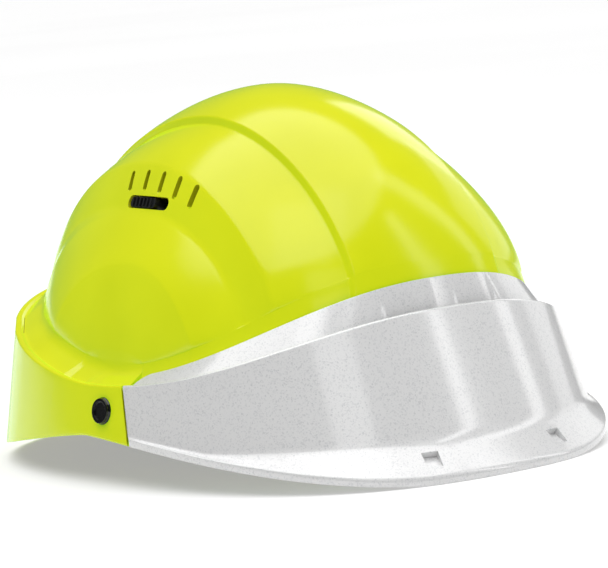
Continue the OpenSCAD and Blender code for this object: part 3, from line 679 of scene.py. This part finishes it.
def ventCutters(side):
    v = vents
    cutters = []
    for k, (across, along, lean) in enumerate(slotPlaces()):
        w = v["edge"]
        surface = 0.9 - 0.0022 * (along - 22) ** 2
        cutter = prism("slotCutter", stadium(v["length"], v["width"]),
                       [(surface - 7, 0), (surface - 0.6, 0), (surface + 0.5, w),
                        (surface + 6, 3 * w)])
        cutter.data.transform(Matrix.Translation(Vector((across, along, 0)) * mm)
                              @ Matrix.Rotation(math.radians(lean), 4, "Z"))
        cutters.append(cutter)
    w = v["thumbEdge"]
    outline = [(-y, x) for x, y in stadium(v["thumbLength"], v["thumbWidth"], 14)]
    thumb = prism("thumbCutter", outline, [(-9, 0), (0.6, 0), (2.8, w), (8, 1.5 * w)])
    thumb.data.transform(Matrix.Translation(Vector((*v["thumbAt"], 0)) * mm))
    cutters.append(thumb)
    for cutter in cutters:
        intoFrame(cutter, ventFrame(side))
    return cutters


def socketCutters():
    h, p = helmet, peak
    t = np.array([p["socketAngle"]])
    middle = (foldLine(t)[0] + skirtLine(t)[0] + [0, 0, h["brim"]]) / 2
    cutters = []
    for side in (1, -1):
        half = p["socket"] / 2
        outline = [(-half, -half), (half, -half), (half, half), (-half, half)]
        cutter = prism("socketCutter", outline, [(-2, 0), (0, 0), (1.6, 0.5), (12, 0.5)])
        turn = (Matrix.Translation(Vector(middle))
                @ Matrix.Rotation(math.radians(p["socketAngle"]), 4, "Z")
                @ Matrix.Rotation(math.radians(p["socketTilt"]), 4, "X"))
        if side < 0:
            turn = Matrix.Scale(-1, 4, (1, 0, 0)) @ turn
        cutters.append(intoFrame(cutter, turn))
    return cutters


for side in (1, -1):
    for cutter in ventCutters(side):
        carve(shellSkin, cutter)
for cutter in socketCutters():
    carve(frontPeak, cutter)
cleanMesh(shellSkin, 2e-6, 0.62)
cleanMesh(frontPeak, 2e-6, 0.62)
print("vents and sockets cut", len(shellSkin.data.polygons), len(frontPeak.data.polygons))


def nearVent(centre):
    # the slots' flanks take the inside's darker copy, painted shade; the crease beside them doesn't
    return abs(centre.x) > 44 * mm and abs(centre.y) < 36 * mm and centre.z > 92 * mm


def onLip(centre, normal):
    # the lip's inner flank and the gutter beside it face the dome but are still outside
    x, y, z = abs(centre.x) / mm, centre.y / mm, centre.z / mm
    t = math.degrees(math.atan2((x / helmet["lipHalfWidth"]) ** (helmet["planPower"] / 2),
                                math.copysign(abs(y) ** (helmet["planPower"] / 2), -y)
                                / (helmet["lipFront"] if y < 0 else helmet["lipRear"])
                                ** (helmet["planPower"] / 2)))
    lip = lipLine(np.array([t]))[0]
    return z > lip[2] - 3.4 and math.hypot(x - lip[0], y - lip[1]) < 4.2 and normal.z > -0.3


for piece, body, stands, slotName, material in (
        (shellSkin, "helmet", "shell", "shell_plastic", shellPlastic),
        (frontPeak, "helmet", "front_peak", "peak_plastic", peakPlastic)):
    piece.data.materials.clear()
    piece.data.materials.append(material)
    # inside faces and the vents' flanks get the darker copy of the plastic: painted shade
    paintedShadeFaces = [0] * len(piece.data.polygons)
    if piece is shellSkin:
        piece.data.materials.append(shellInsidePaintedShade)
        middle = Vector((0, 0, 0.04))
        paintedShadeFaces = [int(f.normal.dot((f.center - middle).normalized())
                      < (0.6 if nearVent(f.center) else 0) and not onLip(f.center, f.normal))
                  for f in piece.data.polygons]
    piece.data.polygons.foreach_set("material_index", paintedShadeFaces)
    weighted(piece)
    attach(piece, body)
    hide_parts(stands)


def makeWoven(name, low, high, threadMm, depthMm, rough=0.85):
    material, tree = startMaterial(name)
    place = addNode(tree, "ShaderNodeTexCoord")
    waves = []
    for axis in ("X", "Z"):
        waves.append(addNode(tree, "ShaderNodeTexWave",
                             {"wave_type": "BANDS", "bands_direction": axis,
                              "Scale": 0.31 / (threadMm * mm), "Distortion": 0.6,
                              "Detail": 1.0, "Detail Scale": 2.0},
                             {"Vector": place.outputs["Object"]}))
    weave = addNode(tree, "ShaderNodeMath", {"operation": "MULTIPLY"},
                    {0: waves[0].outputs["Fac"], 1: waves[1].outputs["Fac"]})
    tint = addNode(tree, "ShaderNodeValToRGB", {"stops": [(0.1, low), (0.8, high)]},
                   {0: weave.outputs[0]})
    bump = addNode(tree, "ShaderNodeBump", {"Distance": depthMm * mm},
                   {"Height": weave.outputs[0]})
    finishMaterial(tree, {"Roughness": rough, "Sheen Weight": 0.35, "Sheen Roughness": 0.5},
                   {"Base Color": tint.outputs["Color"], "Normal": bump.outputs["Normal"]})
    return material


# polyester webbing, woven and heat-set: charcoal threads with a dull sheen; the weave is
# drawn about twice as coarse as the real 0.6 mm thread so that it shows
webbingCloth = makeWoven("wovenPolyesterWebbing", "#26282B", "#4A4D52", 1.2, 0.12)
# foam faced with brushed polyamide knit, perforated: soft and matt
padCloth = makeWoven("brushedKnitOverFoam", "#2B2D30", "#45484D", 0.9, 0.08, 0.95)
# bonded polyester sewing thread: pale grey, slightly waxy
sewingThread = paintSolid("bondedPolyesterThread", "#8A8D92", "#A4A7AC", 0.6, 0.6, 0.01)

cadFinish = dict(
    peak_plug_left=blackAcetal, peak_plug_right=blackAcetal,
    peak_clip_left=greyPolyethylene, peak_clip_right=greyPolyethylene,
    vent_guide_left=greyPolyethylene, vent_guide_right=greyPolyethylene,
    vent_shutter_left=blackNylon, vent_shutter_right=blackNylon,
    vent_knob_left=blackNylon, vent_knob_right=blackNylon,
    headband=greyPolyethylene, sweatband=blackNylon, nape_tail_left=greyPolyethylene,
    nape_tail_right=greyPolyethylene, ratchet_housing=blackNylon, ratchet_cover=blackNylon,
    ratchet_pinion=whiteAcetal, ratchet_knob=blackNylon, ratchet_spring=springSteel,
    ratchet_screws=zincSteel, nape_pad=padCloth, crown_strap_cross=webbingCloth,
    crown_strap_left=webbingCloth, crown_strap_right=webbingCloth, crown_pad=padCloth,
    strap_key_front_left=blackNylon, strap_key_front_right=blackNylon,
    strap_key_side_left=blackNylon, strap_key_side_right=blackNylon,
    strap_key_rear_left=blackNylon, strap_key_rear_right=blackNylon)
for name, material in cadFinish.items():
    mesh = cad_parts[name].data
    mesh.materials.clear()
    mesh.materials.append(material)


# the cradle and the headband
cradle = dict(bandHalf=78.0, bandFront=120.0, bandY=30.0, bandLow=27.0, bandHigh=57.0,
              padEnd=72, stitchLength=2.4, stitchWide=0.55, stitchPitch=3.6, crossY=8.0,
              bendZ=59.0, strapTop=106.0, strapThick=1.1, crownPadRadius=27.0,
              crownPadThick=4.0)


def bandPoint(t, r, z):
    a = cradle["bandHalf"] + r
    s, c = math.sin(math.radians(t)), math.cos(math.radians(t))
    b = cradle["bandFront"] + r if c > 0 else a
    return np.array([a * s, cradle["bandY"] - b * c, z])


def sweptPad(name, start, end, inner, outer, low, high, steps=90):
    # a soft slab between two radii of the band, plump in section and closed at its ends
    verts = []
    ring = 20
    for k in range(steps + 1):
        t = start + (end - start) * k / steps
        edge = min(k, steps - k) / steps * abs(end - start) / 3.0
        full = math.sqrt(max(0.0, 1 - (1 - min(1.0, edge)) ** 2))
        for j in range(ring):
            a = 2 * math.pi * j / ring
            across = signedPow(math.cos(a), 0.55) * (0.12 + 0.88 * full)
            along = signedPow(math.sin(a), 0.4) * (0.55 + 0.45 * full)
            r = (inner + outer) / 2 + (outer - inner) / 2 * float(across)
            z = (low + high) / 2 + (high - low) / 2 * float(along)
            verts.append(bandPoint(t, r, z))
    faces = [list(f) for f in gridFaces(steps + 1, ring, False, True)]
    faces += [list(range(ring))[::-1], [steps * ring + j for j in range(ring)]]
    pad = cleanMesh(makeMesh(name, verts, faces), 1e-6, 1.2)
    pad.data.materials.append(padCloth)
    return pad


def stitchPiece():
    s = cradle
    outline = [(-y, x) for x, y in stadium(s["stitchLength"], s["stitchWide"], 3)]
    return prism("stitchShape", outline, [(-0.15, -0.05), (0.1, 0), (0.25, -0.12)])


def stitchesAlong(name, path, towards):
    length = sum(np.linalg.norm(np.subtract(a, b)) for a, b in zip(path, path[1:]))
    return rowAlong(name, path, stitchPiece(), length / cradle["stitchPitch"], sewingThread,
                    towards)


def revolved(name, profile, centre, steps=72):
    verts = [(centre[0] + r * math.cos(2 * math.pi * k / steps),
              centre[1] + r * math.sin(2 * math.pi * k / steps), z)
             for k in range(steps) for r, z in profile]
    return cleanMesh(makeMesh(name, verts, gridFaces(steps, len(profile), True, False)), 1e-6, 1.2)


def padTop(r):
    s = cradle
    rise = math.sqrt(1 - (r / (s["bandHalf"] + 3)) ** 2)
    return s["bendZ"] + (s["strapTop"] - s["bendZ"]) * rise - s["strapThick"] / 2 - 0.8


def buildSoftGoods():
    s = cradle
    made = []
    sweat = sweptPad("sweatbandPad", -s["padEnd"], s["padEnd"], -3.4, -0.4, s["bandLow"] + 1,
                     s["bandHigh"] - 1)
    made.append((sweat, "sweatband"))
    nape = sweptPad("napePad", 152, 208, -5.4, -0.4, 23, 47, 40)
    made.append((nape, "nape_pad"))
    radius, thick = s["crownPadRadius"], s["crownPadThick"]
    top = [(radius * k / 12, padTop(radius * k / 12)) for k in range(12)]
    edge = [(radius - 0.3, padTop(radius) - 0.5), (radius, padTop(radius) - thick * 0.3),
            (radius - 0.6, padTop(radius) - thick * 0.48)]
    under = [(radius * k / 12,
              padTop(radius * k / 12) - thick * (0.62 + 0.38 * (1 - (k / 12) ** 3)))
             for k in range(11, -1, -1)]
    crown = revolved("crownPad", [(max(r, 0.0001), z) for r, z in top + edge + under],
                     (0, s["crossY"]))
    crown.data.materials.append(padCloth)
    made.append((crown, "crown_pad"))
    for piece, node in made:
        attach(piece, "helmet")
        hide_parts(node)
    rows = []
    for z, label in ((s["bandLow"] + 3.2, "Low"), (s["bandHigh"] - 3.2, "High")):
        path = [bandPoint(t, -3.32, z) for t in np.linspace(-68, 68, 60)]
        rows.append(stitchesAlong("sweatbandStitches" + label, path, (0, 900, z)))
    for row in rows:
        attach(row, "helmet")
    print("soft goods", len(made), "pads", len(rows), "rows of stitches")


buildSoftGoods()


# moulded parts: the frame's own shapes with their sharp edges broken
def softened(node, body, name, width, material, cutters=()):
    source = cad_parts[node]
    obj = bpy.data.objects.new(name, source.data.copy())
    scene.collection.objects.link(obj)
    bm = bmesh.new()
    bm.from_mesh(obj.data)
    bmesh.ops.remove_doubles(bm, verts=bm.verts, dist=2e-6)
    bmesh.ops.dissolve_limit(bm, angle_limit=math.radians(1), verts=bm.verts, edges=bm.edges)
    bm.to_mesh(obj.data)
    bm.free()
    for cutter in cutters:
        carve(obj, cutter)
    bevel = obj.modifiers.new("edges", "BEVEL")
    bevel.width, bevel.segments, bevel.limit_method = width * mm, 2, "ANGLE"
    bevel.angle_limit = math.radians(38)
    bevel.use_clamp_overlap = True
    bake(obj)
    cleanMesh(obj, 1e-6, 0.7)
    obj.data.materials.clear()
    obj.data.materials.append(material)
    obj.data.polygons.foreach_set("material_index", [0] * len(obj.data.polygons))
    weighted(obj)
    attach(obj, body)
    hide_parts(node)
    return obj


moulded = []
for word in ("Left", "Right"):
    low = word.lower()
    moulded += [("vent_knob_" + low, "vent_slider_" + low, "ventKnob" + word, 0.3, blackNylon),
                ("peak_plug_" + low, "helmet", "peakPlug" + word, 0.25, blackAcetal)]
    moulded += [("strap_key_" + place.lower() + "_" + low, "helmet",
                 "strapKey" + place + word, 0.4, blackNylon)
                for place in ("Front", "Side", "Rear")]
moulded += [("ratchet_housing", "helmet", "ratchetHousing", 0.5, blackNylon),
            ("ratchet_cover", "helmet", "ratchetCover", 0.4, blackNylon),
            ("ratchet_knob", "ratchet_dial", "ratchetKnob", 0.35, blackNylon)]
for node, body, name, width, material in moulded:
    softened(node, body, name, width, material)
print("moulded parts", len(moulded))


def headbandSlots():
    # a row of ventilation slots round the headband
    outline = stadium(11, 3.2, 6)
    shape = prism("bandSlotShape", [(-y, x) for x, y in outline], [(-4, 0), (4, 0)])
    cutters = []
    for side in (-1, 1):
        path = [bandPoint(side * t, 0.9, 50.5) for t in np.linspace(76, 138, 40)]
        piece = bpy.data.objects.new("bandSlot", shape.data.copy())
        scene.collection.objects.link(piece)
        cutters.append(rowAlong("bandSlots", path, piece, 4, greyPolyethylene, (0, 30, 50.5)))
    bpy.data.objects.remove(shape)
    return cutters


softened("headband", "helmet", "headbandStrip", 0.35, greyPolyethylene,
         headbandSlots())


# the stage: pale floor, soft lights, camera
studio = dict(floorShade="#CCCCCC", floorColour="#CFCFCF", floorMottleMm=900, tableGlow=0.37,
              floorSize=120.0, world="#FFFFFF", roomDim=0.04, overhead=3.0,
              overheadAngle=80, overheadFrom=(-0.15, 0.05, 1.0),
              roomBright=0.14, brightSide=(0.57, 0.81, 0.0),
              lens=212.1, cameraAt=(-0.8696, -1.2529, 0.2273),
              right=(0.8113, -0.5792, -0.0801), up=(0.1249, 0.0378, 0.9914))
# bearing from the front, height, distance, size in metres and brightness of each softbox
softboxes = dict(
    tallStripNear=(35, 27, 2.2, (0.2, 1.8), 3.4), tallStripFar=(63, 34, 2.2, (0.34, 2.3), 2.4),
    rearWindow=(122, 27, 2.2, (0.7, 0.9), 1.7),
    sideGlow=(97, 18, 2.2, (1.3, 1.1), 1.0), highFront=(-38, 62, 2.4, (1.5, 1.5), 1.0),
    lowFront=(-25, 30, 2.4, (0.9, 0.9), 1.2))


def addLight(name, at, towards, size, power):
    data = bpy.data.lights.new(name, "AREA")
    data.shape, data.size, data.size_y = "RECTANGLE", size[0], size[1]
    data.energy = power
    light = bpy.data.objects.new(name, data)
    scene.collection.objects.link(light)
    light.location = at
    light.rotation_euler = (Vector(towards) - Vector(at)).to_track_quat("-Z", "Y").to_euler()
    light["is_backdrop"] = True
    return light


def buildStage():
    s = studio
    half = s["floorSize"] / 2
    floor = makeMesh("studioFloor", [(-half, -half, 0), (half, -half, 0), (half, half, 0),
                                     (-half, half, 0)], [(0, 1, 2, 3)], True)
    material, tree = startMaterial("paintedFloor")
    place = addNode(tree, "ShaderNodeTexCoord")
    noise = addNode(tree, "ShaderNodeTexNoise",
                    {"Scale": 1 / (s["floorMottleMm"] * mm), "Detail": 1.0},
                    {"Vector": place.outputs["Object"]})
    tint = addNode(tree, "ShaderNodeValToRGB",
                   {"stops": zip(mottle, (s["floorShade"], s["floorColour"]))},
                   {0: noise.outputs["Fac"]})
    finishMaterial(tree, {"Roughness": 0.9, "Specular IOR Level": 0.1,
                          "Emission Color": linear("#FFFFFF"), "Emission Strength": s["tableGlow"]},
                   {"Base Color": tint.outputs["Color"]})
    floor.data.materials.append(material)
    floor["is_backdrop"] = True
    world = bpy.data.worlds.new("studioWorld")
    scene.world = world
    world.use_nodes = True
    # the room is bright behind the helmet and dimmer in front of it
    tree = world.node_tree
    place = addNode(tree, "ShaderNodeTexCoord")
    facing = addNode(tree, "ShaderNodeVectorMath",
                     {"operation": "DOT_PRODUCT", 1: s["brightSide"]},
                     {0: place.outputs["Generated"]})
    room = addNode(tree, "ShaderNodeMapRange",
                   {"From Min": -0.6, "From Max": 0.75,
                    "To Min": s["roomDim"], "To Max": s["roomBright"]},
                   {"Value": facing.outputs["Value"]})
    background = tree.nodes["Background"]
    background.inputs["Color"].default_value = linear(s["world"])
    seen = addNode(tree, "ShaderNodeLightPath")
    either = addNode(tree, "ShaderNodeMath", {"operation": "MAXIMUM"},
                     {0: room.outputs["Result"], 1: seen.outputs["Is Camera Ray"]})
    tree.links.new(either.outputs[0], background.inputs["Strength"])
    camera = bpy.data.objects.new("camera", bpy.data.cameras.new("camera"))
    scene.collection.objects.link(camera)
    camera.data.lens, camera.data.sensor_width = s["lens"], 36.0
    right, up = Vector(s["right"]).normalized(), Vector(s["up"]).normalized()
    back = right.cross(up).normalized()
    up = back.cross(right)
    turn = Matrix((right, up, back)).transposed().to_4x4()
    camera.matrix_world = Matrix.Translation(s["cameraAt"]) @ turn
    camera.data.clip_start, camera.data.clip_end = 0.05, 60
    scene.camera = camera
    scene.view_settings.view_transform = "Standard"
    sun = bpy.data.objects.new("overheadGlow", bpy.data.lights.new("overheadGlow", "SUN"))
    sun.data.energy, sun.data.angle = s["overhead"], math.radians(s["overheadAngle"])
    sun.rotation_euler = Vector(s["overheadFrom"]).to_track_quat("Z", "Y").to_euler()
    scene.collection.objects.link(sun)
    sun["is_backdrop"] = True
    for name, (azimuth, height, away, size, glow) in softboxes.items():
        a, e = math.radians(azimuth), math.radians(height)
        at = Vector((math.sin(a) * math.cos(e), -math.cos(a) * math.cos(e), math.sin(e))) * away
        addLight(name, at + Vector((0, 0, 0.1)), (0, 0, 0.1), size,
                 glow * size[0] * size[1] * math.pi)


buildStage()

low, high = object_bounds()
